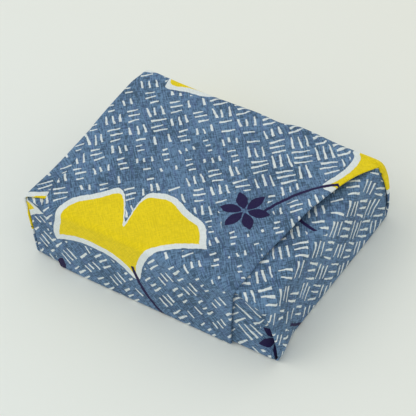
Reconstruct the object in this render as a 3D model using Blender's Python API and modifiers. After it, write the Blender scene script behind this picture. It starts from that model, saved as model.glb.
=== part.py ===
"""A parcel wrapped flat, with no knot, in one square of cotton cloth.

The square lies as a diamond under the parcel. Its near corner goes up the front and over the top,
its two side corners go up the ends and over the top, and its far corner goes up the back, over the
top, down the front and under the parcel. The spare cloth beside each upright edge is a pleat with
its crease at 45 degrees. The whole cloth is one sheet, so it is one piece.
"""

import math

import bmesh
import bpy
from mathutils import Vector

# The parcel, outside, in metres. X runs along it, the front looks to -Y, and it stands on Z = 0.
LENGTH = 0.175
WIDTH = 0.128
HEIGHT = 0.050

# The cloth: a square this wide, laid as a diamond.
CLOTH_SIDE = 0.500
CLOTH_THICK = 0.0010
CLOTH_GAP = 0.0004
EDGE_RADIUS = 0.0035
INNER_RADIUS = 0.0012
FOLD_NOSE = 0.0007
FOLD_OPENS = 0.010

# Where the walls end and each flap goes on alone, and how far the pleats reach there.
WALL_TOP = 0.036
PLEAT_REACH = 0.036

# How far each flap reaches over the top before its end or its turn back.
NEAR_FLAP_REACH = 0.116
NEAR_TIP_TURNED = 0.105
SIDE_FLAP_REACH = 0.146
SIDE_FLAP_TAPER = 0.030
TUCK_REACH = 0.058
TUCK_TIP_HALF = 0.006

# How wide the brim beside a folded edge is, and how far the side flaps clear the back edge and
# the near flap clears the ends.
BRIM = 0.0016
BACK_CLEARANCE = 0.002
END_CLEARANCE = 0.0008

# The bottom lies flat over the tip and this far past it, and comes down to the floor from there.
TUCK_ROOM = 0.014
TUCK_RAMP = 0.012

# How deep a flap lies on the top, in layers under the last flap: the upper side flap, the lower
# side flap where the upper one covers it, and the near flap's own depth under a side flap.
UPPER_DEPTH = 2
LOWER_DEPTH = 4
NEAR_DEPTH = 2

# How far the top swells in its middle, the walls in theirs, and the left end in its own.
TOP_SWELL = 0.0012
WALL_SWELL = 0.0008
LEFT_SWELL = 0.00193

# How far the foot of the front and the back leans out, and the top's right corners sink.
FOOT_LEAN = 0.0024
FRONT_CORNER_DROP = 0.0062
BACK_CORNER_DROP = 0.0018

# Where each sunken corner starts and how far it runs, as shares of the length and of the width.
FRONT_DROP_ALONG = (0.385, 0.115)
FRONT_DROP_ACROSS = (0.26, 0.24)
BACK_DROP_ALONG = (0.42, 0.09)
BACK_DROP_ACROSS = (0.34, 0.17)

# Where the ends lean in behind the wrapped-over cloth, and where one stands off, across the width.
RECESS_ACROSS = (0.20, 0.20)
STAND_OFF_ACROSS = (0.16, 0.34)

# The top's left front corner stands a little higher than the box.
LEFT_CORNER_RISE = 0.0018

# Loose cloth stands out beside the two right upright edges: how far in from the end and from the
# front or back it goes, as shares of half the length and half the width, and how far it stands out
# along X and Y, in metres, against shares of the height.
FRONT_BULGE_REACH = (0.30, 0.38)
FRONT_BULGE_X = ((0.00, 0.0034), (0.10, 0.0038), (0.40, 0.0034), (0.75, 0.0022), (1.00, 0.0012))
FRONT_BULGE_Y = ((0.00, -0.0012), (0.10, -0.0006), (0.30, 0.0006), (0.80, 0.0008), (1.00, 0.0002))
BACK_BULGE_REACH = (0.18, 0.40)
BACK_BULGE_X = ((0.00, -0.0006), (0.15, 0.0010), (0.30, 0.0020), (0.60, 0.0030), (1.00, 0.0022))
BACK_BULGE_Y = ((0.00, -0.0004), (0.30, 0.0014), (0.70, 0.0020), (1.00, 0.0006))

# The stretch of the height over which the corners' drop and the back edge's run fade in.
DROP_UPWARDS = (0.20, 0.80)
EDGE_UPWARDS = (0.45, 0.50)

# The last flap's two folded edges, as shares of the length, against shares of the way from the
# back edge of the top (0) over the top's front edge (1) to the foot of the front (2).
LAST_FLAP_LEFT = ((0.00, -0.497), (0.45, -0.486), (0.60, -0.455), (0.76, -0.430), (0.88, -0.424),
                  (1.00, -0.412), (1.50, -0.407), (2.00, -0.380))
LAST_FLAP_RIGHT = ((0.00, 0.494), (0.11, 0.475), (0.24, 0.452), (0.37, 0.429), (0.48, 0.411),
                   (0.60, 0.401), (0.80, 0.388), (1.00, 0.384), (1.12, 0.371), (1.25, 0.364),
                   (1.66, 0.349), (2.00, 0.338))

# How far the last flap's cloth is turned in behind each edge, in metres, on the same way.
LAST_FLAP_TURN = ((0.00, 0.036), (0.50, 0.036), (1.00, 0.034), (1.50, 0.018), (2.00, 0.004))

# How far the right end stands off near its front fold, in metres, against shares of the height.
END_STANDS_OFF = ((0.00, 0.0), (0.05, 0.0004), (0.12, 0.0020), (0.35, 0.0018), (0.60, 0.0010),
                  (0.90, 0.0003), (1.00, 0.0))

# How far the back wall's cloth wraps on to the end, in metres, against shares of the height.
BACK_WRAP = ((0.00, 0.0), (0.25, 0.0), (0.58, 0.0022), (0.80, 0.0030), (0.93, 0.0017),
             (0.99, 0.0004))

# How far a side flap's front fold stands out past the near wall, in metres, against the share of
# the length from the middle. Under the last flap it lies back.
FOLD_STANDS = ((0.00, -0.0010), (0.404, -0.0010), (0.414, 0.0012), (0.50, 0.0018))
LEFT_FOLD_STANDS = ((0.00, -0.0010), (0.424, -0.0010), (0.434, 0.0012), (0.50, 0.0018))

# The back edge of the top runs in and out by this much, in metres, against shares of the length.
BACK_EDGE = ((-0.50, 0.0), (-0.20, -0.0014), (0.0, -0.0004), (0.083, -0.0014), (0.163, 0.0008),
             (0.355, -0.0010), (0.50, -0.0006))

# Where one side flap dips under the other, as a share of the length, and over how much of it.
LEFT_DIP = 0.415
NEAR_DIP = 0.410
DIP_RUN = 0.05

LAYER = CLOTH_THICK + CLOTH_GAP
END_X = LENGTH / 2 - CLOTH_THICK / 2
OUT_Y = WIDTH / 2 - CLOTH_THICK / 2
NEAR_Y = OUT_Y - 2 * LAYER
TOP_Z = HEIGHT - CLOTH_THICK / 2
FLOOR_Z = CLOTH_THICK / 2
CLOTH_REACH = CLOTH_SIDE / math.sqrt(2)

# The rows of points near each end of the top, as shares of the length from the middle.
END_ROWS = (0.462, 0.437, 0.418, 0.400, 0.380, 0.360)

FRONT_STEPS = 7
END_FRONT_STEPS = 4
END_BACK_STEPS = 6
PLEAT_STEPS = 3
ARC_STEPS = 3
WALL_STEPS = 4
FLAP_STEPS = 5
TOP_STEPS = 9
MERGE_DISTANCE = 2e-5


def between(start, end, share):
    """The value that lies this share of the way from start to end."""
    return start + (end - start) * share


def ease(share):
    """A share that leaves 0 and reaches 1 gently."""
    share = min(1.0, max(0.0, share))
    return share * share * (3 - 2 * share)


def read(table, at):
    """The value of a table of pairs at this place, with straight runs between its rows."""
    if at <= table[0][0]:
        return table[0][1]
    for (low, first), (high, second) in zip(table, table[1:]):
        if at <= high:
            return between(first, second, (at - low) / (high - low))
    return table[-1][1]


def spread(start, end, steps):
    """Evenly spaced values from start to end, both included."""
    return [between(start, end, i / steps) for i in range(steps + 1)]


# The crosswise places that the walls share with the bottom, so that their edges meet.
NEAR_X = END_X - 2 * LAYER
TOP_X = NEAR_X - END_CLEARANCE
END_X_ROWS = [NEAR_X] + [share * LENGTH for share in END_ROWS]
INNER_X = [-x for x in END_X_ROWS[:-1]]
INNER_X += spread(-END_X_ROWS[-1], END_X_ROWS[-1], FRONT_STEPS) + END_X_ROWS[-2::-1]
RIGHT_X = [END_X - LAYER, END_X - LAYER / 2, END_X]
ALL_X = [-x for x in reversed(RIGHT_X)] + INNER_X + RIGHT_X
INNER_Y = spread(-NEAR_Y, -NEAR_Y / 2, END_FRONT_STEPS)
INNER_Y += spread(-NEAR_Y / 2, NEAR_Y, END_BACK_STEPS)[1:]
ALL_Y = INNER_Y + [OUT_Y - LAYER, OUT_Y - LAYER / 2, OUT_Y]


def tuck_half_width(y):
    """Half the width of the tucked tip at this depth under the parcel."""
    share = min(1.0, (y + OUT_Y) / TUCK_REACH)
    widest = between(LAST_FLAP_RIGHT[-1][1], -LAST_FLAP_LEFT[-1][1], 0.5) * LENGTH
    return between(widest, TUCK_TIP_HALF, share)


def bottom_z(x, y):
    """The bottom's height: on the floor, and one layer up where the tucked tip lies under it."""
    beside = 1 - ease((abs(x) - tuck_half_width(y) - TUCK_ROOM) / TUCK_RAMP)
    behind = 1 - ease((y + OUT_Y - TUCK_REACH - TUCK_ROOM / 2) / TUCK_RAMP)
    return FLOOR_Z + LAYER * min(beside, behind)


def past(stretch, share):
    """How far a share has come along a stretch, given as its start and its run."""
    start, run = stretch
    return (share - start) / run


def corner_drop(x, y):
    """How far the top sinks near its two right-hand corners, less its rise at the left front."""
    near = ease(past(FRONT_DROP_ACROSS, -y / WIDTH))
    front = max(0.0, past(FRONT_DROP_ALONG, x / LENGTH)) * near
    back = ease(past(BACK_DROP_ALONG, x / LENGTH)) * ease(past(BACK_DROP_ACROSS, y / WIDTH))
    left = ease(past(FRONT_DROP_ALONG, -x / LENGTH)) * near
    return FRONT_CORNER_DROP * front + BACK_CORNER_DROP * back - LEFT_CORNER_RISE * left


def bulge(reach, end_share, side_share):
    """How fully the loose cloth beside a right upright edge moves a point, from 0 to 1."""
    near_end = ease(past((1 - reach[0], reach[0]), end_share))
    near_side = ease(past((1 - reach[1], reach[1]), side_share))
    return near_end * near_side


def settle(point):
    """Moves a point as the filled parcel swells, leans and sinks, the same for every layer."""
    x, y, z = point
    high = z / HEIGHT
    end_share = 2 * x / LENGTH
    side_share = 2 * y / WIDTH
    across = max(0.0, 1 - end_share ** 2)
    along = max(0.0, 1 - side_share ** 2)
    upright = max(0.0, 1 - (2 * high - 1) ** 2)
    new_z = z + TOP_SWELL * across * along * ease(high)
    new_z -= corner_drop(x, y) * ease(past(DROP_UPWARDS, high))
    new_y = y + WALL_SWELL * across * upright * side_share * (1 - along)
    new_y += FOOT_LEAN * max(0.0, 1 - end_share ** 4) * side_share ** 3 * max(0.0, 1 - high) ** 2
    new_y += read(BACK_EDGE, x / LENGTH) * ease(past(EDGE_UPWARDS, high)) * ease(2 * side_share - 1)
    swell = LEFT_SWELL if x < 0 else WALL_SWELL
    new_x = x + swell * along * upright * end_share * (1 - across)
    front = bulge(FRONT_BULGE_REACH, end_share, -side_share)
    back = bulge(BACK_BULGE_REACH, end_share, side_share)
    new_x += read(FRONT_BULGE_X, high) * front + read(BACK_BULGE_X, high) * back
    new_y += read(FRONT_BULGE_Y, high) * front + read(BACK_BULGE_Y, high) * back
    return Vector((new_x, new_y, new_z))


def skin(mesh, rows):
    """Joins rows of points, each with the same count, into one strip of faces."""
    made = [[mesh.verts.new(settle(point)) for point in row] for row in rows]
    for low, high in zip(made, made[1:]):
        for i in range(len(low) - 1):
            mesh.faces.new((low[i], low[i + 1], high[i + 1], high[i]))


def end_recess(y, z):
    """How far the end wall leans in near the back, where the back wall's cloth wraps over it."""
    return 2 * LAYER * ease(z / FOLD_OPENS) * ease(past(RECESS_ACROSS, y / WIDTH))


def stand_off(x, y, z):
    """How far the right end stands off near its front fold."""
    if x < 0:
        return 0.0
    return read(END_STANDS_OFF, z / HEIGHT) * ease(past(STAND_OFF_ACROSS, -y / WIDTH))


def front_fold(z, stands):
    """A side flap's cloth from the near wall to its fold, as pairs of a place in Y and a depth."""
    reach = PLEAT_REACH * z / WALL_TOP
    inner = [(y, 1) for y in spread(-NEAR_Y + reach, -NEAR_Y - stands, PLEAT_STEPS)]
    nose = [(-NEAR_Y - stands - FOLD_NOSE * ease(z / FOLD_OPENS), 0.5)]
    outer = [(y - stands * (NEAR_Y - y) / (2 * NEAR_Y), 0) for y in INNER_Y]
    return inner + nose + outer


def back_fold(z, turn):
    """The last flap's turned-in cloth at the right of the back wall, up to its outer corner."""
    lift = ease(z / FOLD_OPENS)
    wrap = read(BACK_WRAP, z / HEIGHT)
    seat = END_X - 2 * LAYER * lift
    middle = END_X - LAYER * lift
    points = [(x, OUT_Y - LAYER) for x in spread(seat - turn, middle, PLEAT_STEPS)]
    points.append((middle, OUT_Y - LAYER - wrap))
    points.append((END_X - LAYER / 2 * lift, OUT_Y - LAYER / 2 - wrap - FOLD_NOSE * lift))
    points.append((END_X, between(OUT_Y, OUT_Y - LAYER - wrap, min(1.0, wrap / CLOTH_GAP))))
    return points


def half_outline(side, z):
    """One half of the walls' outline at one height, as for the right, from front to back."""
    stands = read(FOLD_STANDS, 0.5) * ease(z / FOLD_OPENS)
    reach = PLEAT_REACH * z / WALL_TOP
    line = [(NEAR_X, y) for y in spread(-NEAR_Y, -NEAR_Y + reach, PLEAT_STEPS)]
    for y, depth in front_fold(z, stands):
        lean = end_recess(y, z) - stand_off(side, y, z)
        line.append((END_X - depth * LAYER - lean, y))
    seat = END_X - 2 * LAYER * ease(z / FOLD_OPENS)
    line += [(x, NEAR_Y) for x in spread(seat, seat - reach, PLEAT_STEPS)][1:]
    line += back_fold(z, reach)
    return line


def wall_row(z, inset):
    """One level of the four walls: a closed outline, with the pleat at each upright edge."""
    line = [(x, -NEAR_Y) for x in INNER_X[:-1]]
    line += half_outline(1, z)
    line += [(x, OUT_Y) for x in reversed(ALL_X)]
    line += [(-x, y) for x, y in reversed(half_outline(-1, z))]
    row = []
    for x, y in line:
        foot = bottom_z(x, y) * (1 - z / WALL_TOP)
        row.append((x * (1 - inset / END_X), y * (1 - inset / OUT_Y), foot + z))
    return row


def build_walls(mesh):
    """The four walls from the rounded bottom edge up to where the flaps part."""
    rows = []
    for step in range(ARC_STEPS + 1):
        turn = math.pi / 2 * step / ARC_STEPS
        inset = EDGE_RADIUS * (1 - math.sin(turn))
        rows.append(wall_row(EDGE_RADIUS * (1 - math.cos(turn)), inset))
    for z in spread(EDGE_RADIUS, WALL_TOP, WALL_STEPS)[1:]:
        rows.append(wall_row(z, 0))
    skin(mesh, rows)


def build_bottom(mesh):
    """The panel that the parcel stands on, inside the rounded bottom edge."""
    inset = EDGE_RADIUS
    rows = []
    for y in ALL_Y:
        row = []
        for x in ALL_X:
            row.append((x * (1 - inset / END_X), y * (1 - inset / OUT_Y), bottom_z(x, y)))
        rows.append(row)
    skin(mesh, rows)


def rounded(corner, radius, start, steps):
    """An arc about a corner's centre, as pairs of a place and the direction to its inside."""
    stations = []
    for step in range(steps + 1):
        turn = start + math.pi / 2 * step / steps
        out = (math.cos(turn), math.sin(turn))
        place = (corner[0] + radius * out[0], corner[1] + radius * out[1])
        stations.append((place, (-out[0], -out[1])))
    return stations


def near_layer(x):
    """How many layers under the last flap the near flap lies: deep, and less so at the ends."""
    if x < 0:
        return side_layer(-1, -x) + NEAR_DEPTH
    sink = ease((NEAR_DIP - x / LENGTH) / DIP_RUN)
    return between(UPPER_DEPTH, LOWER_DEPTH, sink) + NEAR_DEPTH


def build_near_flap(mesh):
    """The near corner: over the top under all the others, its tip turned back beneath it."""
    stations = [(-NEAR_Y, None, NEAR_X), (-NEAR_Y, -INNER_RADIUS, NEAR_X)]
    for step in range(1, ARC_STEPS + 1):
        turn = math.pi / 2 * step / ARC_STEPS
        y = -NEAR_Y + INNER_RADIUS * (1 - math.cos(turn))
        stations.append((y, INNER_RADIUS * (math.sin(turn) - 1), TOP_X))
    end = -NEAR_Y + NEAR_FLAP_REACH
    places = spread(-NEAR_Y + INNER_RADIUS, -NEAR_Y / 2, END_FRONT_STEPS)[1:]
    places += spread(-NEAR_Y / 2, end, FLAP_STEPS)[1:]
    stations += [(y, 0, TOP_X) for y in places]
    stations.append((end + FOLD_NOSE, -LAYER / 2, TOP_X))
    for back in spread(0, NEAR_TIP_TURNED, FLAP_STEPS):
        hem = CLOTH_REACH - WIDTH / 2 - HEIGHT - NEAR_FLAP_REACH - back
        stations.append((end - back, -LAYER - CLOTH_GAP, max(hem, TUCK_TIP_HALF)))
    rows = []
    for y, drop, widest in stations:
        width = min(widest, TOP_X - end_recess(y, TOP_Z)) if drop is not None else widest
        row = []
        for column in INNER_X:
            x = min(width, max(-width, column))
            top = TOP_Z - near_layer(x) * LAYER
            row.append((x, y, WALL_TOP if drop is None else top + drop))
        rows.append(row)
    skin(mesh, rows)


def side_layer(side, x):
    """How many layers under the last flap a side flap lies, at this distance from the middle."""
    if side > 0:
        return UPPER_DEPTH
    sink = ease((LEFT_DIP - x / LENGTH) / DIP_RUN)
    return between(UPPER_DEPTH, LOWER_DEPTH, sink)


def build_side_flap(mesh, side):
    """A side corner: over the end's top edge and along the top, its front folded under itself."""
    crest = TOP_Z - UPPER_DEPTH * LAYER
    table = FOLD_STANDS if side > 0 else LEFT_FOLD_STANDS
    stations = [((END_X, z), (-1, 0)) for z in spread(WALL_TOP, crest - EDGE_RADIUS, 1)]
    stations += rounded((END_X - EDGE_RADIUS, crest - EDGE_RADIUS), EDGE_RADIUS, 0, ARC_STEPS)[1:]
    places = END_X_ROWS[1:]
    places += spread(places[-1], END_X - SIDE_FLAP_REACH, FLAP_STEPS)[1:]
    for x in places:
        stations.append(((x, TOP_Z - side_layer(side, x) * LAYER), (0, -1)))
    rows = []
    for (x, z), inward in stations:
        stands = read(table, max(0.0, x / (2 * END_X)))
        gone = max(0.0, END_X - x - SIDE_FLAP_REACH + SIDE_FLAP_TAPER)
        on_top = ease((END_X - x) / EDGE_RADIUS)
        row = []
        for y, depth in front_fold(WALL_TOP, stands):
            if depth == 1:
                fold = -NEAR_Y - stands
                y = between(fold, y, max(0.25, 1 - gone / SIDE_FLAP_TAPER))
            back = BACK_CLEARANCE * on_top * ease(y / WIDTH * 2)
            lean = end_recess(y, z) - stand_off(side, y, z)
            px = x + inward[0] * depth * LAYER - lean * (1 - on_top)
            pz = z + inward[1] * depth * LAYER
            row.append((side * px, y - back, pz))
        rows.append(row)
    skin(mesh, rows)


def last_flap_stations():
    """The last flap's way, as a share, a place, and the direction to its inside, in order."""
    r = EDGE_RADIUS
    stations = [(0.0, (OUT_Y, z), (-1, 0)) for z in spread(WALL_TOP, TOP_Z - r, 1)]
    for place, inward in rounded((OUT_Y - r, TOP_Z - r), r, 0, ARC_STEPS)[1:]:
        stations.append((0.0, place, inward))
    for share in spread(0, 1, TOP_STEPS)[1:]:
        stations.append((share, (between(OUT_Y - r, -OUT_Y + r, share), TOP_Z), (0, -1)))
    for place, inward in rounded((-OUT_Y + r, TOP_Z - r), r, math.pi / 2, ARC_STEPS)[1:]:
        stations.append((1.0, place, inward))
    for share in spread(0, 1, WALL_STEPS)[1:]:
        stations.append((1 + share, (-OUT_Y, between(TOP_Z - r, FLOOR_Z + r, share)), (1, 0)))
    for place, inward in rounded((-OUT_Y + r, FLOOR_Z + r), r, math.pi, ARC_STEPS)[1:]:
        stations.append((2.0, place, inward))
    return stations


def build_last_flap(mesh):
    """The far corner: over the top and down the front, its sides turned in, its tip tucked under."""
    stations = last_flap_stations()
    edge = 2 + ARC_STEPS
    rows = [wall_edge_row(y, z, inward) for _, (y, z), inward in stations[:edge]]
    rows += [flap_row(way, y, z, inward) for way, (y, z), inward in stations[edge:]]
    skin(mesh, rows)
    build_tuck(mesh, rows[-1])


def flap_row(way, y, z, inward):
    """A row of the last flap past the back edge, from its right turned-in cloth to its left."""
    left = read(LAST_FLAP_LEFT, way) * LENGTH
    right = read(LAST_FLAP_RIGHT, way) * LENGTH
    turn = read(LAST_FLAP_TURN, way)
    row = []
    for x, depth in turned_edge(right, turn):
        row.append((x, y + inward[0] * depth * LAYER, z + inward[1] * depth * LAYER))
    for x in reversed(ALL_X):
        share = (x + END_X) / (2 * END_X)
        row.append((between(left + BRIM, right - BRIM, share), y, z))
    for x, depth in reversed(turned_edge(-left, turn)):
        row.append((-x, y + inward[0] * depth * LAYER, z + inward[1] * depth * LAYER))
    return row


def turned_edge(edge, turn):
    """The cloth turned in behind an edge, as pairs of a place in X and a depth."""
    points = [(x, 1) for x in spread(edge - turn, edge - BRIM, PLEAT_STEPS)]
    points.append((edge, 1))
    points.append((edge + FOLD_NOSE, 0.5))
    points.append((edge, 0))
    return points


def wall_edge_row(y, z, inward):
    """A row of the last flap up the back wall and over its edge, shaped as the wall's outline."""
    half = []
    for x, wall_y in back_fold(z, PLEAT_REACH):
        fall = OUT_Y - wall_y
        half.append((x, y + inward[0] * fall, z + inward[1] * fall))
    row = list(half)
    row += [(x, y, z) for x in reversed(ALL_X)]
    row += [(-x, py, pz) for x, py, pz in reversed(half)]
    return row


def build_tuck(mesh, first):
    """The last flap's tip, flat on the floor under the parcel."""
    turned = len(turned_edge(0, 0))
    first = first[turned:-turned]
    start = -OUT_Y + EDGE_RADIUS
    rows = []
    for share in spread(0, 1, WALL_STEPS):
        y = between(start, -OUT_Y + TUCK_REACH, share)
        narrow = between(1, TUCK_TIP_HALF / tuck_half_width(-OUT_Y), share)
        rows.append([(x * narrow, y, z) for x, _, z in first])
    skin(mesh, rows)


def centre(mesh):
    """Brings the middle of the footprint on to the origin, where the cloth has come out uneven."""
    for axis in range(2):
        places = [corner.co[axis] for corner in mesh.verts]
        middle = between(min(places), max(places), 0.5)
        for corner in mesh.verts:
            corner.co[axis] -= middle


def cloth_material():
    """Slate-blue cotton."""
    material = bpy.data.materials.new("slate_cotton")
    material.use_nodes = True
    shader = material.node_tree.nodes["Principled BSDF"]
    shader.inputs["Base Color"].default_value = (0.095, 0.175, 0.300, 1)
    shader.inputs["Roughness"].default_value = 0.85
    shader.inputs["Metallic"].default_value = 0.0
    return material


def build_cloth(collection):
    """The folded sheet as one closed solid."""
    mesh = bmesh.new()
    build_bottom(mesh)
    build_walls(mesh)
    build_near_flap(mesh)
    build_side_flap(mesh, 1)
    build_side_flap(mesh, -1)
    build_last_flap(mesh)
    bmesh.ops.remove_doubles(mesh, verts=mesh.verts, dist=MERGE_DISTANCE)
    bmesh.ops.recalc_face_normals(mesh, faces=mesh.faces)
    centre(mesh)
    data = bpy.data.meshes.new("furoshiki_cloth")
    mesh.to_mesh(data)
    mesh.free()
    data.shade_smooth()
    data.materials.append(cloth_material())
    cloth = bpy.data.objects.new("furoshiki_cloth", data)
    collection.objects.link(cloth)
    thick = cloth.modifiers.new("Cloth thickness", "SOLIDIFY")
    thick.thickness = CLOTH_THICK
    thick.offset = 0
    return cloth


def main():
    """Clears the scene and builds the wrapped parcel in its own collection."""
    for old in list(bpy.data.objects):
        bpy.data.objects.remove(old)
    collection = bpy.data.collections.new("Furoshiki wrap")
    bpy.context.scene.collection.children.link(collection)
    build_cloth(collection)


main()
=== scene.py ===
"""A parcel wrapped flat in one square of printed cotton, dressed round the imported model.

The square lies as a diamond under the parcel. Its near corner goes up the front and over the top,
its side corners go up the ends and over the top, and its far corner goes up the back, over the top,
down the front and under. The cloth is one sheet, built row by row as it is folded, and each point
knows its place on the flat cloth, so that the print and the weave follow every fold.
"""

import logging
import math
from dataclasses import dataclass, field
from enum import Enum

import bmesh
import bpy
from mathutils import Matrix, Vector, noise


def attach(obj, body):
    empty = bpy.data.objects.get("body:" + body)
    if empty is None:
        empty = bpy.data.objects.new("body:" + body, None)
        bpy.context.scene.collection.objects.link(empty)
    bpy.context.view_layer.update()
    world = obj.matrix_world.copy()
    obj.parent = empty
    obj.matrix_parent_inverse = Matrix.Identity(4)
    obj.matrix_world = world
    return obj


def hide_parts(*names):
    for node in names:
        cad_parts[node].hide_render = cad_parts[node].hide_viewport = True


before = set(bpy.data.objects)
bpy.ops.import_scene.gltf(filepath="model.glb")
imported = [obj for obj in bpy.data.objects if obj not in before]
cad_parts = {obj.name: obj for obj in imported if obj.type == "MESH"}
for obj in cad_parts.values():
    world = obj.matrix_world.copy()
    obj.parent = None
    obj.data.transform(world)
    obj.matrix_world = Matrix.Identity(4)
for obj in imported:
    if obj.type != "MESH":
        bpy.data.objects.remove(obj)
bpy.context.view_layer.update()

# The cloth bulges more at the right end, so the box inside it stands this much to the left.
BOX_PLACE = Vector((-0.00181, 0.0, 0.0))

LOG = logging.getLogger("furoshiki")

Pair = tuple[float, float]
Triple = tuple[float, float, float]
Table = tuple[Pair, ...]
Point = tuple[float, float, float, float, float]
Row = list[Point]


class Side(Enum):
    """The parcel's two ends."""

    LEFT = -1
    RIGHT = 1


def between(start: float, end: float, share: float) -> float:
    """The value that lies this share of the way from start to end."""
    return start + (end - start) * share


def ease(share: float) -> float:
    """A share that leaves 0 and reaches 1 gently."""
    share = min(1.0, max(0.0, share))
    return share * share * (3 - 2 * share)


def past(stretch: Pair, share: float) -> float:
    """How far a share has come along a stretch, given as its start and its run."""
    start, run = stretch
    return (share - start) / run


def spread(start: float, end: float, steps: int) -> list[float]:
    """Evenly spaced values from start to end, both included."""
    return [between(start, end, i / steps) for i in range(steps + 1)]


def read(table: Table, at: float) -> float:
    """The value of a table of pairs at one place, on a smooth line through its rows.

    Args:
        table: Pairs of a place and a value, in order of place.
        at: The place to read.

    Returns:
        The value there, held level beyond either end.
    """
    if at <= table[0][0]:
        return table[0][1]
    if at >= table[-1][0]:
        return table[-1][1]
    k = max(i for i in range(len(table) - 1) if table[i][0] <= at)
    (x0, y0), (x1, y1) = table[k], table[k + 1]
    chord = (y1 - y0) / (x1 - x0)
    slopes = []
    for a, b, c in ((k - 1, k, k + 1), (k, k + 1, k + 2)):
        low, high = max(a, 0), min(c, len(table) - 1)
        if low == b or high == b:
            slopes.append(chord)
            continue
        before = (table[b][1] - table[low][1]) / (table[b][0] - table[low][0])
        after = (table[high][1] - table[b][1]) / (table[high][0] - table[b][0])
        slopes.append(0.0 if before * after <= 0 else 2 * before * after / (before + after))
    t = (at - x0) / (x1 - x0)
    run = x1 - x0
    rise = (2 * t**3 - 3 * t**2 + 1) * y0 + (3 * t**2 - 2 * t**3) * y1
    return rise + run * ((t**3 - 2 * t**2 + t) * slopes[0] + (t**3 - t**2) * slopes[1])


def quarter(middle: Pair, radius: float, first: float,
            steps: int) -> list[tuple[float, Pair, Pair]]:
    """A quarter round, without its first point.

    Args:
        middle: Its centre.
        radius: Its radius.
        first: The angle of its first point.
        steps: How many points it takes.

    Returns:
        For each point the angle come so far, the place and the way in to the centre.
    """
    points = []
    for angle in spread(0, math.pi / 2, steps)[1:]:
        out = (math.cos(first + angle), math.sin(first + angle))
        place = (middle[0] + radius * out[0], middle[1] + radius * out[1])
        points.append((angle, place, (-out[0], -out[1])))
    return points


def edge_places(loop: Row, axis: int, other: int, at: float) -> list[float]:
    """The places along one straight edge of a loop, in order.

    Args:
        loop: The points.
        axis: The axis that the edge runs along, 0 for X and 1 for Y.
        other: The other axis.
        at: Where the edge lies on the other axis.

    Returns:
        Each different place of a point on the edge.
    """
    digits, near = 7, 1e-7
    return sorted({round(point[axis], digits) for point in loop if abs(point[other] - at) < near})


@dataclass(frozen=True)
class Crease:
    """A soft trough or ridge pressed into one face, from one place on it to another."""

    start: Pair
    end: Pair
    half_width: float
    height: float

    def rise(self, across: float, along: float) -> float:
        """How far the crease lifts this place on its face."""
        ax, ay = self.start
        dx, dy = self.end[0] - ax, self.end[1] - ay
        share = ((across - ax) * dx + (along - ay) * dy) / (dx * dx + dy * dy)
        if not 0 < share < 1:
            return 0.0
        off = ((across - ax) * dy - (along - ay) * dx) / math.hypot(dx, dy)
        fade = math.sin(math.pi * share)
        return self.height * fade * math.exp(-((off / self.half_width) ** 2))


@dataclass(frozen=True)
class Bulge:
    """Loose cloth beside one upright edge, which stands out from the true box.

    The corner holds the signs of X and Y, and the reach is how far in it goes, as shares of half
    the length and half the width. The tables hold metres against shares of the height.
    """

    corner: Pair
    reach: Pair
    out_x: Table
    out_y: Table

    def push(self, end_share: float, side_share: float, high: float) -> Pair:
        """How far the bulge moves a point along X and Y."""
        near_end = ease(past((1 - self.reach[0], self.reach[0]), end_share * self.corner[0]))
        near_side = ease(past((1 - self.reach[1], self.reach[1]), side_share * self.corner[1]))
        window = near_end * near_side
        return window * read(self.out_x, high), window * read(self.out_y, high)


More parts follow.
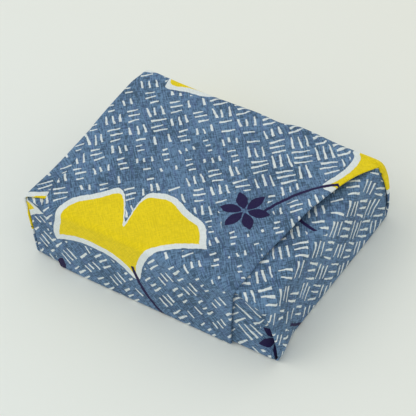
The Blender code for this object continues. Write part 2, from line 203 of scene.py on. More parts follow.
@dataclass(frozen=True)
class Settling:
    """How the filled, folded parcel departs from a true box, the same for every layer."""

    length: float
    width: float
    height: float
    top_swell: float = 0.0012
    wall_swell: float = 0.0008
    left_swell: float = 0.0019
    foot_lean: float = 0.0030
    back_corner: float = 0.0030
    front_drop: float = 0.0062
    back_drop: float = 0.0018
    left_rise: float = 0.0018
    ripple: float = 0.00050
    ripple_scale: float = 26.0
    front_drop_most: float = 1.1
    # Where each sunken corner starts and how far it runs, as shares of the length or the width.
    front_drop_along: Pair = (0.385, 0.115)
    front_drop_across: Pair = (0.26, 0.24)
    back_drop_along: Pair = (0.42, 0.09)
    back_drop_across: Pair = (0.34, 0.17)
    # Where each effect starts and how far it runs, as shares of the height for the first four, of
    # half the width for the front and of half the length for the end.
    drop_upwards: Pair = (0.20, 0.80)
    edge_upwards: Pair = (0.45, 0.50)
    top_upwards: Pair = (0.55, 0.40)
    ripple_upwards: Pair = (0.0, 0.25)
    front_outwards: Pair = (0.85, 0.10)
    end_outwards: Pair = (0.88, 0.08)
    # Where the ripples of the walls are read, so that they don't match the top's.
    front_ripple: Triple = (7.1, 0.0, 0.0)
    end_ripple: Triple = (0.0, 5.3, 0.0)
    bulges: tuple[Bulge, ...] = (
        Bulge((1, -1), (0.30, 0.38),
              ((0.00, 0.0034), (0.10, 0.0038), (0.40, 0.0034), (0.75, 0.0022), (1.00, 0.0012)),
              ((0.00, -0.0012), (0.10, -0.0006), (0.30, 0.0006), (0.80, 0.0008), (1.00, 0.0002))),
        Bulge((1, 1), (0.18, 0.40),
              ((0.00, -0.0006), (0.15, 0.0010), (0.30, 0.0022), (0.60, 0.0030), (1.00, 0.0022)),
              ((0.00, -0.0004), (0.30, 0.0014), (0.70, 0.0020), (1.00, 0.0006))),
    )
    # How far the top's back edge runs in and out, in metres, against shares of the length.
    back_edge: Table = ((-0.50, 0.0004), (-0.20, -0.0012), (0.0, -0.0003), (0.083, -0.0013),
                        (0.163, 0.0011), (0.355, -0.0008), (0.50, -0.0004))
    # The creases of the top in X and Y, of the front in X and Z, and of the right end in Y and Z.
    top_creases: tuple[Crease, ...] = (
        Crease((-0.070, 0.058), (0.010, 0.020), 0.0050, 0.00060),
        Crease((-0.078, 0.020), (-0.020, -0.010), 0.0060, -0.00050),
        Crease((0.000, 0.062), (0.030, 0.018), 0.0040, -0.00060),
        Crease((0.020, 0.060), (0.062, 0.010), 0.0050, 0.00050),
        Crease((-0.030, -0.060), (0.046, -0.014), 0.0060, -0.00045),
        Crease((-0.080, -0.018), (-0.030, -0.058), 0.0050, 0.00040),
        Crease((0.028, -0.060), (0.060, -0.010), 0.0045, 0.00050),
        Crease((0.066, -0.058), (0.080, -0.030), 0.0035, -0.00050),
    )
    front_creases: tuple[Crease, ...] = (
        Crease((0.066, 0.046), (0.082, 0.014), 0.0035, -0.00060),
        Crease((0.066, 0.022), (0.084, 0.002), 0.0035, 0.00070),
        Crease((-0.082, 0.040), (-0.066, 0.010), 0.0040, -0.00050),
        Crease((-0.050, 0.004), (-0.026, 0.046), 0.0050, 0.00050),
        Crease((0.006, 0.048), (0.034, 0.006), 0.0050, -0.00050),
        Crease((0.036, 0.044), (0.054, 0.008), 0.0040, 0.00040),
    )
    end_creases: tuple[Crease, ...] = (
        Crease((-0.062, 0.014), (-0.030, 0.036), 0.0040, 0.00060),
        Crease((-0.048, 0.004), (-0.006, 0.024), 0.0045, -0.00050),
        Crease((0.002, 0.006), (0.030, 0.040), 0.0050, 0.00050),
        Crease((0.018, 0.004), (0.056, 0.030), 0.0045, -0.00055),
    )

    def corner_drop(self, x: float, y: float) -> float:
        """How far the top sinks near its two right-hand corners."""
        front = max(0.0, past(self.front_drop_along, x / self.length))
        front *= ease(past(self.front_drop_across, -y / self.width))
        back = ease(past(self.back_drop_along, x / self.length))
        back *= ease(past(self.back_drop_across, y / self.width))
        left = ease(past(self.front_drop_along, -x / self.length))
        left *= ease(past(self.front_drop_across, -y / self.width))
        front = min(self.front_drop_most, front)
        return self.front_drop * front + self.back_drop * back - self.left_rise * left

    def round_back(self, x: float, y: float) -> Pair:
        """Rounds the two upright back edges in plan."""
        across = abs(x) - (self.length / 2 - self.back_corner)
        along = y - (self.width / 2 - self.back_corner)
        if across <= 0 or along <= 0:
            return x, y
        scale = max(across, along) / math.hypot(across, along)
        out = self.length / 2 - self.back_corner + across * scale
        return math.copysign(out, x), self.width / 2 - self.back_corner + along * scale

    def move(self, x: float, y: float, z: float) -> Vector:
        """Where a point of the true box comes to lie.

        Args:
            x, y, z: The point on the box.

        Returns:
            The settled point.
        """
        high = z / self.height
        end_share = 2 * x / self.length
        side_share = 2 * y / self.width
        across = max(0.0, 1 - end_share ** 2)
        along = max(0.0, 1 - side_share ** 2)
        upright = max(0.0, 1 - (2 * high - 1) ** 2)
        new_x, new_y = self.round_back(x, y)
        new_z = z + self.top_swell * across * along * ease(high)
        new_z -= self.corner_drop(x, y) * ease(past(self.drop_upwards, high))
        new_y += self.wall_swell * across * upright * side_share * (1 - along)
        lean = max(0.0, 1 - end_share ** 8) * side_share ** 3 * max(0.0, 1 - high) ** 2
        new_y += self.foot_lean * lean
        swell = self.wall_swell if x > 0 else self.left_swell
        new_x += swell * along * upright * end_share * (1 - across)
        edge = ease(past(self.edge_upwards, high)) * ease(2 * side_share - 1)
        new_y += read(self.back_edge, x / self.length) * edge
        for bulge in self.bulges:
            out_x, out_y = bulge.push(end_share, side_share, high)
            new_x += out_x
            new_y += out_y
        return Vector((new_x, new_y, new_z)) + self.creased(x, y, z)

    def creased(self, x: float, y: float, z: float) -> Vector:
        """How far the creases and ripples move a point of the true box."""
        high = z / self.height
        end_share = 2 * x / self.length
        side_share = 2 * y / self.width
        top = ease(past(self.top_upwards, high))
        front = ease(past(self.front_outwards, -side_share))
        end = ease(past(self.end_outwards, end_share))
        up = sum(crease.rise(x, y) for crease in self.top_creases) * top
        out = sum(crease.rise(x, z) for crease in self.front_creases) * front
        right = sum(crease.rise(y, z) for crease in self.end_creases) * end
        spot = Vector((x, y, z)) * self.ripple_scale
        soft = self.ripple * ease(past(self.ripple_upwards, high))
        up += soft * top * noise.noise(spot)
        sway = soft * side_share ** 2 * noise.noise(spot + Vector(self.front_ripple))
        right += soft * end_share ** 2 * noise.noise(spot + Vector(self.end_ripple))
        return Vector((right, sway - out, up))


@dataclass(frozen=True)
class Station:
    """One row's place on the way of a flap, with the ways to its inside and over its edge."""

    way: float
    place: Pair
    inward: Pair
    fall: Pair
    flat: float


@dataclass(frozen=True)
class TurnedEdge:
    """A flap's folded edge: where it lies, how far it hangs over, and the cloth behind it."""

    edge: float
    droop: float
    turn: float
    bend: float
    loft: float
    flat: float

    def at(self, run: float) -> tuple[float, float, float, float]:
        """A place on the outer layer.

        Args:
            run: The distance from the fold, along the cloth.

        Returns:
            The place along the row, how far it hangs over, and the normal's two parts.
        """
        turned = math.acos(1 - min(self.droop, self.bend) / self.bend)
        drop = max(0.0, self.droop - self.bend)
        arc = turned * self.bend
        flat_end = self.edge - self.bend * math.sin(turned)
        if run < drop:
            return self.edge, self.droop - run, -1.0, 0.0
        if run < drop + arc:
            angle = turned - (run - drop) / self.bend
            along = flat_end + self.bend * math.sin(angle)
            return along, self.bend * (1 - math.cos(angle)), -math.sin(angle), math.cos(angle)
        return flat_end - (run - drop - arc), 0.0, 0.0, 1.0


@dataclass
class WrappedCloth:
    """The whole cloth of the wrap, as one folded sheet."""

    length: float = 0.175
    width: float = 0.128
    height: float = 0.050
    side: float = 0.500
    thick: float = 0.00050
    pitch: float = 0.00080
    foot_radius: float = 0.0018
    top_radius: float = 0.0034
    back_radius: float = 0.0028
    gather_radius: float = 0.0085
    near_round_right: float = 0.0080
    near_round_left: float = 0.0010
    near_top_round: float = 0.0035
    wall_top: float = 0.036
    pleat_reach: float = 0.036
    near_reach: float = 0.116
    near_tip: float = 0.105
    side_reach: float = 0.146
    side_taper: float = 0.030
    tuck_reach: float = 0.058
    tuck_tip: float = 0.006
    tuck_room: float = 0.014
    tuck_ramp: float = 0.012
    upper_depth: int = 2
    lower_depth: int = 4
    near_depth: int = 2
    # Where the lower flaps dip under the upper one, and over how much, as shares of the length.
    near_dip: float = 0.395
    left_dip: float = 0.415
    dip_run: float = 0.05
    # How far up a fold takes to open, how far a turned-in strip stands off, and how far from its
    # fold it settles.
    fold_opens: float = 0.010
    side_loft: float = 0.0004
    back_loft: float = 0.0003
    settles: float = 0.008
    # The cloth that the bend of a fold takes up, and the bend of the back wall's own folds.
    nose_cloth: float = 0.001
    wall_bend: float = 0.0012
    # On the last flap's way, as below: where its edge leaves the upright edge, where its bend and
    # loft grow, how much of it a radian of the top's front edge takes, and the front's two ends.
    edge_leaves: float = -0.10
    bend_grows: Pair = (-0.15, 0.12)
    loft_grows: Pair = (-0.05, 0.10)
    front_turns: float = 0.04
    front_way: Pair = (1.063, 1.95)
    # Where the end leans in behind the wrapped-over cloth, as shares of the width.
    recess_across: Pair = (0.22, 0.18)
    # The narrowest that a corner's round and a turned-in strip get above the walls.
    least_round: float = 0.3
    least_strip: float = 0.25
    # A side flap is finely divided near the end, down to this share of the length.
    fine_until: float = 0.36
    fine_steps: int = 14
    arc_steps: int = 5
    bend_steps: int = 6
    top_arc_steps: int = 3
    lift_steps: int = 4
    pleat_steps: int = 5
    seat_steps: int = 4
    corner_turns: tuple[float, ...] = (30.0, 60.0, 90.0)
    merge: float = 1e-5
    grid: float = 0.0023
    coarse: float = 0.0060
    runs: tuple[float, ...] = (0.0, 0.0007, 0.0015, 0.0025, 0.0037, 0.0051, 0.0067, 0.0086, 0.011)
    nose_turns: tuple[float, ...] = (30.0, 75.0, 120.0, 165.0)
    strip_shares: tuple[float, ...] = (0.0, 0.03, 0.07, 0.13, 0.22, 0.35, 0.55, 0.77, 1.0)

    # The last flap's two folded edges, as shares of the length, against its way: -1 at the foot
    # of the back, 0 at the top's back edge, 1 at its front edge and 2 at the foot of the front.
    last_right: Table = ((-0.10, 0.4985), (0.008, 0.497), (0.018, 0.488), (0.10, 0.4685),
                         (0.16, 0.457), (0.22, 0.447), (0.35, 0.427), (0.47, 0.410),
                         (0.59, 0.401), (0.80, 0.386), (1.00, 0.382), (1.06, 0.377),
                         (1.12, 0.370), (1.25, 0.364), (1.66, 0.349), (2.00, 0.338))
    last_left: Table = ((-0.10, -0.4983), (0.00, -0.4975), (0.45, -0.486), (0.60, -0.455),
                        (0.76, -0.430), (0.85, -0.4305), (1.00, -0.413), (1.20, -0.400),
                        (1.50, -0.398), (1.75, -0.392), (2.00, -0.374))
    # How far the last flap hangs over the end, in metres, on the same way.
    wrap_right: Table = ((-1.00, 0.0), (-0.80, 0.0), (-0.55, 0.0030), (-0.25, 0.0048),
                         (-0.05, 0.0060), (0.00, 0.0052), (0.010, 0.0030), (0.020, 0.0))
    wrap_left: Table = ((-1.00, 0.0), (-0.60, 0.0), (-0.30, 0.0016), (0.00, 0.0022),
                        (0.06, 0.0008), (0.10, 0.0))
    # How wide a strip is turned in behind each edge, and how far the right edge stands up.
    turn_in: Table = ((-1.00, 0.0), (-0.28, 0.036), (0.00, 0.048), (0.50, 0.060), (1.00, 0.040),
                      (1.50, 0.020), (2.00, 0.003))
    lift: Table = ((-0.02, 0.0), (0.05, 0.0006), (0.14, 0.0022), (0.26, 0.0036), (0.42, 0.0036),
                   (0.62, 0.0020), (0.80, 0.0009), (0.95, 0.0003), (1.10, 0.0006), (1.50, 0.0008),
                   (2.00, 0.0))
    lift_reach: float = 0.022
    # How far a side flap's front fold stands out past the near wall, against the share of the
    # length from the middle, and how far the end stands off there, against shares of the height.
    fold_stands: Table = ((0.362, -0.0008), (0.382, 0.0002), (0.415, 0.0013), (0.50, 0.0026))
    left_stands: Table = ((0.380, -0.0072), (0.410, -0.0062), (0.440, -0.0044), (0.470, -0.0020),
                          (0.490, -0.0006), (0.50, -0.0002))
    flare_right: Table = ((0.00, 0.0), (0.07, 0.0016), (0.15, 0.0028), (0.35, 0.0024),
                          (0.60, 0.0016), (0.87, 0.0005), (1.00, 0.0))
    flare_left: Table = ((0.00, 0.0), (0.12, 0.0003), (0.40, 0.0003), (0.80, 0.0002), (1.00, 0.0))
    flare_reach: float = 0.34
    mesh: bmesh.types.BMesh = field(default_factory=bmesh.new)

    def __post_init__(self) -> None:
        """Works out the planes that the mid-surface keeps, and the shared columns."""
        self.end_x = self.length / 2 - self.thick / 2
        self.out_y = self.width / 2 - self.thick / 2
        self.near_y = self.out_y - 2 * self.pitch
        self.near_x = self.end_x - 2 * self.pitch
        self.top_z = self.height - self.thick / 2
        self.floor_z = self.thick / 2
        self.reach = self.side / math.sqrt(2)
        self.settling = Settling(self.length, self.width, self.height)
        self.flat_u = self.mesh.verts.layers.float.new("flat_u")
        self.flat_v = self.mesh.verts.layers.float.new("flat_v")
        self.near_steps = round(2 * self.near_x / self.grid)
        self.end_steps = round((2 * self.near_y - self.runs[-1]) / self.grid)
        corner = 2 * (1 + len(self.nose_turns) + 1)
        self.back_middle = self.near_steps + 1 + corner - 2 * len(self.runs)

    def bottom_z(self, x: float, y: float) -> float:
        """The bottom's height: on the floor, or one layer up over the tucked tip."""
        share = min(1.0, (y + self.out_y) / self.tuck_reach)
        right, left = self.last_right[-1][1], -self.last_left[-1][1]
        half = between((right + left) / 2 * self.length, self.tuck_tip, share)
        beside = 1 - ease((abs(x) - half - self.tuck_room) / self.tuck_ramp)
        further = y + self.out_y - self.tuck_reach - self.tuck_room / 2
        behind = 1 - ease(further / self.tuck_ramp)
        return self.floor_z + self.pitch * min(beside, behind)

    def skin(self, rows: list[Row]) -> None:
        """Joins rows of points, each with the same count, into one strip of faces."""
        made = []
        for row in rows:
            line = []
            for x, y, z, u, v in row:
                vert = self.mesh.verts.new(self.settling.move(x, y, z) + BOX_PLACE)
                vert[self.flat_u] = u
                vert[self.flat_v] = v
                line.append(vert)
            made.append(line)
        for low, high in zip(made, made[1:]):
            for i in range(len(low) - 1):
                self.mesh.faces.new((low[i], low[i + 1], high[i + 1], high[i]))

    def edge_points(self, fold: TurnedEdge) -> list[tuple[float, float, float, float]]:
        """The points of a folded edge, from the turned-in cloth's end to the outer brim.

        Args:
            fold: The edge.

        Returns:
            For each point its place along the row, its depth in metres, how far it hangs over,
            and its place on the flat cloth.
        """
        points = []
        gap = self.pitch + fold.loft
        for share in reversed(self.strip_shares):
            run = share * fold.turn
            along, hang, side, down = fold.at(run)
            near = ease(1 - run / self.settles)
            reach = between(self.pitch, gap, near)
            across = fold.flat + run + self.nose_cloth
            points.append((along + side * reach, down * reach, hang, across))
        along, hang, side, down = fold.at(0.0)
        middle = (along + side * gap / 2, down * gap / 2)
        for turn in self.nose_turns[::-1]:
            angle = math.radians(turn)
            out, off = math.sin(angle) * gap / 2, -math.cos(angle) * gap / 2
            place = middle[0] + side * off + down * out
            depth = middle[1] + down * off
            across = fold.flat + self.nose_cloth * turn / 180
            points.append((place, depth, hang - side * out, across))
        for run in self.runs:
            along, hang, _, _ = fold.at(run)
            points.append((along, 0.0, hang, fold.flat - run))
        return points

    def end_recess(self, y: float, z: float) -> float:
        """How far the end leans in near the back, where the back's cloth wraps over it."""
        behind = ease(past(self.recess_across, y / self.width))
        return 2 * self.pitch * ease(z / self.fold_opens) * behind

    def flare(self, side: Side, y: float, z: float) -> float:
        """How far the end stands off near its front fold."""
        table = self.flare_right if side is Side.RIGHT else self.flare_left
        near = ease(past((0.5 - self.flare_reach, self.flare_reach), -y / self.width))
        return read(table, z / self.height) * near

    def side_row(self, side: Side, place: Pair, inward: Pair, turn: float, wall_z: float,
                 flat: float) -> Row:
        """One row across an end or a side flap, from its turned-in cloth to the back.

        Args:
            side: Which end.
            place: The row's place in X and Z on the outer layer, as for the right end.
            inward: The way to the inside there.
            turn: How wide the turned-in strip behind the front fold is.
            wall_z: The height at which the end's shape is read.
            flat: How far out on the flat cloth the row lies.

        Returns:
            The row, with X and the flat place already turned to that side.
        """
        x, z = place
        table = self.fold_stands if side is Side.RIGHT else self.left_stands
        open_up = ease(wall_z / self.fold_opens)
        stands = read(table, max(0.0, x / self.length)) * open_up
        loft = self.side_loft * open_up if side is Side.RIGHT else 0.0
        fold = TurnedEdge(self.near_y + stands, 0.0, turn, self.top_radius, loft, self.near_y)
        points = self.edge_points(fold)
        # At the foot the fold is shut, and its nose must not reach past the near wall.
        if open_up == 0.0:
            points = [(min(p[0], self.near_y), p[1], p[2], p[3]) for p in points]
        outer = fold.at(self.runs[-1])[0]
        for y in spread(outer, -self.near_y, self.end_steps)[1:]:
            points.append((y, 0.0, 0.0, y - stands))
        row = []
        for along, depth, _, across in points:
            y = -along
            up = abs(inward[0])
            lean = self.end_recess(y, wall_z) - self.flare(side, y, wall_z)
            px = x + inward[0] * depth - lean * up
            pz = z + inward[1] * depth
            row.append((side.value * px, y, pz, side.value * flat, -across))
        return row

    def back_row(self, station: Station) -> Row:
        """One row of the last flap, from its right turned-in cloth to its left one."""
        halves = []
        for side in Side:
            right = side is Side.RIGHT
            edge = side.value * read(self.last_right if right else self.last_left, station.way)
            edge = min(edge * self.length, self.end_x)
            if station.way < self.edge_leaves:
                edge = self.end_x
            droop = read(self.wrap_right if right else self.wrap_left, station.way)
            turn = read(self.turn_in, station.way)
            bend = between(self.wall_bend, self.top_radius + 2 * self.pitch,
                           ease(past(self.bend_grows, station.way)))
            loft = self.back_loft * ease(past(self.loft_grows, station.way)) if right else 0.0
            fold = TurnedEdge(edge, droop, turn, bend, loft, edge + droop)
            halves.append(self.edge_points(fold))
        left, right = halves
        raised = read(self.lift, station.way)
        x0, x1 = -left[-1][0], right[-1][0]
        u0, u1 = -left[-1][3], right[-1][3]
        line = list(right)
        for share in spread(0, 1, self.back_middle + 1)[1:-1]:
            line.append((between(x1, x0, share), 0.0, 0.0, between(u1, u0, share)))
        line += [(-p[0], p[1], p[2], -p[3]) for p in reversed(left)]
        row = []
        for x, depth, hang, u in line:
            edge = right[len(self.strip_shares)][0]
            up = -raised * ease((x - edge + self.lift_reach) / self.lift_reach)
            y = station.place[0] + station.inward[0] * (depth + up) + station.fall[0] * hang
            z = station.place[1] + station.inward[1] * (depth + up) + station.fall[1] * hang
            row.append((x, y, z, u, station.flat))
        return row

    def back_station(self, z: float) -> Station:
        """A station of the last flap on the back wall at this height."""
        return Station(z / self.height - 1, (self.out_y, z), (-1, 0), (-1, 0), self.width / 2 + z)

    def outline(self, z: float, inset: float) -> Row:
        """One level of the four walls, as a closed loop that starts at the near wall's left."""
        lift = ease(z / self.fold_opens)
        reach = self.pleat_reach * z / self.wall_top
        rounds = {side: self.near_round(side) * lift for side in Side}
        row = self.near_line(z, rounds)
        sides = {}
        for side in Side:
            line = self.near_corner(side, z, rounds[side], reach)
            line += self.side_row(side, (self.end_x, z), (-1, 0), reach, z, self.length / 2 + z)
            seat = self.end_x - 2 * self.pitch * lift
            for x in spread(seat, seat - reach, self.seat_steps):
                u = self.length / 2 + z
                line.append((side.value * x, self.near_y, z, side.value * u,
                             self.width / 2 + (seat - x)))
            sides[side] = line
        row += sides[Side.RIGHT]
        row += self.back_row(self.back_station(z))
        row += reversed(sides[Side.LEFT])
        row.append(row[0])
        level = []
        for x, y, pz, u, v in row:
            foot = self.bottom_z(x, y) * (1 - z / self.wall_top)
            level.append((x * (1 - inset / self.end_x), y * (1 - inset / self.out_y),
                          foot + pz, u, v))
        return level

    def near_round(self, side: Side) -> float:
        """How round the near wall's upright edge is."""
        return self.near_round_right if side is Side.RIGHT else self.near_round_left

    def near_line(self, z: float, rounds: dict[Side, float]) -> Row:
        """The near wall's row at one height, between its two rounded upright edges."""
        low, high = rounds[Side.LEFT] - self.near_x, self.near_x - rounds[Side.RIGHT]
        return [(x, -self.near_y, z, x, -self.width / 2 - z)
                for x in spread(low, high, self.near_steps)]

    def near_corner(self, side: Side, z: float, rn: float, reach: float) -> Row:
        """The near wall's cloth round its upright edge and back along the end, under the fold."""
        row = []
        flat = self.length / 2
        for turn in self.corner_turns:
            angle = math.radians(turn)
            x = self.near_x - rn + rn * math.sin(angle)
            y = -self.near_y + rn - rn * math.cos(angle)
            u = between(self.near_x - rn, flat + rn, turn / 90)
            row.append((side.value * x, y, z, side.value * u, -self.width / 2 - z))
        for y in spread(-self.near_y + rn, -self.near_y + max(rn, reach), self.pleat_steps)[1:]:
            a = y + self.near_y
            row.append((side.value * self.near_x, y, z, side.value * (flat + a),
                        -self.width / 2 - z))
        return row

    def build_walls(self) -> None:
        """The four walls, from the rounded foot up to where the flaps part."""
        rows = []
        r = self.foot_radius
        for turn in spread(0, math.pi / 2, self.arc_steps):
            rows.append(self.outline(r * (1 - math.cos(turn)), r * (1 - math.sin(turn))))
        steps = round((self.wall_top - r) / self.grid)
        for z in spread(r, self.wall_top, steps)[1:]:
            rows.append(self.outline(z, 0))
        self.skin(rows)

    def build_bottom(self) -> None:
        """The panel that the parcel stands on, inside the rounded foot."""
        inset = self.foot_radius
        loop = self.outline(0.0, 0.0)
        front = edge_places(loop, 0, 1, -self.near_y)
        back = edge_places(loop, 0, 1, self.out_y)
        sides = edge_places(loop, 1, 0, self.end_x)
        if len(front) != len(back):
            raise ValueError(f"the bottom's edges differ: {len(front)} and {len(back)} columns")
        rows = []
        for y in sides:
            share = (y + self.near_y) / (self.out_y + self.near_y)
            row = []
            for low, high in zip(front, back):
                x = between(low, high, share)
                row.append((x * (1 - inset / self.end_x), y * (1 - inset / self.out_y),
                            self.bottom_z(x, y), x, y))
            rows.append(row)
        self.skin(rows)

    def near_layer(self, x: float) -> float:
        """How many layers under the last flap the near flap lies: less so at the right end."""
        if x < 0:
            return self.side_layer(Side.LEFT, -x) + self.near_depth
        sink = ease((self.near_dip - x / self.length) / self.dip_run)
        return between(self.upper_depth, self.lower_depth, sink) + self.near_depth

    def side_layer(self, side: Side, x: float) -> float:
        """How many layers under the last flap a side flap lies, this far from the middle."""
        if side is Side.RIGHT:
            return self.upper_depth
        sink = ease((self.left_dip - x / self.length) / self.dip_run)
        return between(self.upper_depth, self.lower_depth, sink)

    def build_near_flap(self) -> None:
        """The near corner: over the top under all the others, its tip turned back beneath."""
        r = self.near_top_round
        crest = self.near_depth + self.upper_depth
        wall_end = self.top_z - crest * self.pitch - r
        rows = []
        for z in spread(self.wall_top, wall_end, self.lift_steps):
            left = between(1, 0, (z - self.wall_top) / (wall_end - self.wall_top))
            rounding = max(left, self.least_round)
            rows.append(self.near_wall_row(z, rounding, self.pleat_reach * left))
        front = -self.near_y
        stations = []
        for turn in spread(0, math.pi / 2, self.top_arc_steps)[1:]:
            stations.append((front + r * (1 - math.cos(turn)), r * (math.sin(turn) - 1)))
        end = front + self.near_reach
        steps = round(self.near_reach / self.coarse)
        stations += [(y, 0.0) for y in spread(front + r, end, steps)[1:]]
        stations.append((end + self.pitch / 2, -self.pitch / 2))
        for y, drop in stations:
            run = self.width / 2 + self.height + (y - front)
            rows.append(self.near_top_row(y, drop, self.near_x, run, len(rows[0])))
        for back in spread(0, self.near_tip, round(self.near_tip / self.coarse)):
            run = self.width / 2 + self.height + self.near_reach + back
            half = max(min(self.near_x, self.reach - run), self.tuck_tip)
            rows.append(self.near_top_row(end - back, -self.pitch, half, run, len(rows[0])))
        self.skin(rows)

    def near_wall_row(self, z: float, rounding: float, reach: float) -> Row:
        """A row of the near wall above the place where the flaps part."""
        rounds = {side: self.near_round(side) * rounding for side in Side}
        left = self.near_corner(Side.LEFT, z, rounds[Side.LEFT], reach)
        right = self.near_corner(Side.RIGHT, z, rounds[Side.RIGHT], reach)
        return list(reversed(left)) + self.near_line(z, rounds) + right

    def near_top_row(self, y: float, drop: float, half: float, run: float, count: int) -> Row:
        """A row of the near flap on the top."""
        corner = (count - self.near_steps - 1) // 2
        row = []
        for share in spread(-1, 1, self.near_steps):
            x = share * half
            z = self.top_z - self.near_layer(x) * self.pitch + drop
            row.append((x, y, z, x, -run))
        return [row[0]] * corner + row + [row[-1]] * corner

    def build_side_flap(self, side: Side) -> None:
        """A side corner: over the end's top edge and along the top, its front turned under."""
        r = self.top_radius
        crest = self.top_z - self.upper_depth * self.pitch
        rows = []
        up = self.length / 2
        turn = self.pleat_reach
        for z in spread(self.wall_top, crest - r, self.lift_steps):
            rows.append(self.side_row(side, (self.end_x, z), (-1, 0), turn, z, up + z))
        up += crest
        bend = quarter((self.end_x - r, crest - r), r, 0.0, self.bend_steps)
        for angle, place, inward in bend:
            rows.append(self.side_row(side, place, inward, turn, place[1], up - r + r * angle))
        up += r * (math.pi / 2 - 1)
        first = self.end_x - r
        last = self.end_x - self.side_reach
        near = spread(first, self.fine_until * self.length, self.fine_steps)[1:]
        far = spread(near[-1], last, round((near[-1] - last) / self.coarse))[1:]
        for x in near + far:
            z = self.top_z - self.side_layer(side, x) * self.pitch
            gone = max(0.0, self.end_x - x - self.side_reach + self.side_taper)
            strip = turn * max(self.least_strip, 1 - gone / self.side_taper)
            rows.append(self.side_row(side, (x, z), (0, -1), strip, z, up + first - x))
        self.skin(rows)

    def last_stations(self) -> list[Station]:
        """The last flap's stations, from where the flaps part to the foot of the front."""
        r, b = self.foot_radius, self.back_radius
        start = self.out_y - b, self.top_z - b
        steps = round((start[1] - self.wall_top) / self.grid)
        stations = [self.back_station(z) for z in spread(self.wall_top, start[1], steps)]
        flat = self.width / 2 + self.height
        for angle, place, inward in quarter(start, b, 0.0, self.bend_steps):
            way = -b / self.height * (1 - angle / (math.pi / 2))
            stations.append(Station(way, place, inward, inward, flat - b + b * angle))
        r_top = self.top_radius
        y0, y1 = start[0], -self.out_y + r_top
        flat += b * (math.pi / 2 - 1)
        for share in spread(0, 1, round((y0 - y1) / self.grid))[1:]:
            y = between(y0, y1, share)
            stations.append(Station(share, (y, self.top_z), (0, -1), (0, -1), flat + y0 - y))
        flat += y0 - y1
        z0, z1 = self.top_z - r_top, self.floor_z + r
        for angle, place, inward in quarter((y1, z0), r_top, math.pi / 2, self.arc_steps):
            way = 1 + angle * self.front_turns
            stations.append(Station(way, place, inward, (0, -1), flat + r_top * angle))
        flat += r_top * math.pi / 2
        for share in spread(0, 1, round((z0 - z1) / self.grid))[1:]:
            z = between(z0, z1, share)
            stations.append(Station(between(*self.front_way, share), (-self.out_y, z), (1, 0),
                                    (1, 0), flat + z0 - z))
        flat += z0 - z1
        for angle, place, inward in quarter((r - self.out_y, z1), r, math.pi, self.arc_steps):
            way = between(self.front_way[1], 2, angle / (math.pi / 2))
            stations.append(Station(way, place, inward, inward, flat + r * angle))
        return stations

    def gathered(self, station: Station) -> Station:
        """The station with its overhang led to one centre near the back corner of the end."""
        centre = (self.out_y - self.gather_radius, self.top_z - self.gather_radius)
        y, z = station.place
        if y < centre[0] or z < centre[1]:
            return station
        away = math.hypot(centre[0] - y, centre[1] - z)
        fall = ((centre[0] - y) / away, (centre[1] - z) / away)
        return Station(station.way, station.place, station.inward, fall, station.flat)

    def build_last_flap(self) -> None:
        """The far corner: over the top, down the front and under, its sides turned in."""
        rows = [self.back_row(self.gathered(station)) for station in self.last_stations()]
        self.skin(rows)
        self.build_tuck(rows[-1])

    def build_tuck(self, first: Row) -> None:
        """The last flap's tip, flat on the floor under the parcel."""
        corner = len(self.strip_shares) + len(self.nose_turns)
        first = first[corner:-corner]
        widest = (self.last_right[-1][1] - self.last_left[-1][1]) / 2 * self.length
        start = -self.out_y + self.foot_radius
        rows = []
        for share in spread(0, 1, round(self.tuck_reach / self.coarse)):
            y = between(start, -self.out_y + self.tuck_reach, share)
            narrow = between(1, self.tuck_tip / widest, share)
            row = [(x * narrow, y, z, u * narrow, v + y - start) for x, _, z, u, v in first]
            rows.append(row)
        self.skin(rows)

    def build(self) -> bpy.types.Object:
        """Returns:
            The finished piece.
        """
        self.build_bottom()
        self.build_walls()
        self.build_near_flap()
        for side in Side:
            self.build_side_flap(side)
        self.build_last_flap()
        bmesh.ops.remove_doubles(self.mesh, verts=self.mesh.verts, dist=self.merge)
        bmesh.ops.recalc_face_normals(self.mesh, faces=self.mesh.faces)
        flat = self.mesh.loops.layers.uv.new("flat_cloth")
        for face in self.mesh.faces:
            for loop in face.loops:
                loop[flat].uv = (loop.vert[self.flat_u], loop.vert[self.flat_v])
        data = bpy.data.meshes.new("printed_cloth")
        self.mesh.to_mesh(data)
        self.mesh.free()
        data.shade_smooth()
        piece = bpy.data.objects.new("printed_cloth", data)
        bpy.context.scene.collection.objects.link(piece)
        thick = piece.modifiers.new("Cloth thickness", "SOLIDIFY")
        thick.thickness = self.thick
        thick.offset = 0
        bpy.ops.object.select_all(action="DESELECT")
        piece.select_set(True)
        bpy.context.view_layer.objects.active = piece
        bpy.ops.object.modifier_apply(modifier=thick.name)
        return piece


class Flow:
    """One output of a shader's nodes, with arithmetic that adds Math nodes."""

    def __init__(self, bench: "Bench", socket: bpy.types.NodeSocket) -> None:
        """Keeps the socket and the bench that adds nodes after it."""
        self.bench = bench
        self.socket = socket

    def __add__(self, other: "Flow | float") -> "Flow":
        """Adds."""
        return self.bench.math("ADD", self, other)

    def __sub__(self, other: "Flow | float") -> "Flow":
        """Takes away."""
        return self.bench.math("SUBTRACT", self, other)

    def __rsub__(self, other: float) -> "Flow":
        """Is taken away from a number."""
        return self.bench.math("SUBTRACT", other, self)

    def __mul__(self, other: "Flow | float") -> "Flow":
        """Multiplies."""
        return self.bench.math("MULTIPLY", self, other)

    def __truediv__(self, other: "Flow | float") -> "Flow":
        """Divides."""
        return self.bench.math("DIVIDE", self, other)

    def __neg__(self) -> "Flow":
        """Turns the sign."""
        return self.bench.math("MULTIPLY", self, -1.0)

    __radd__ = __add__
    __rmul__ = __mul__


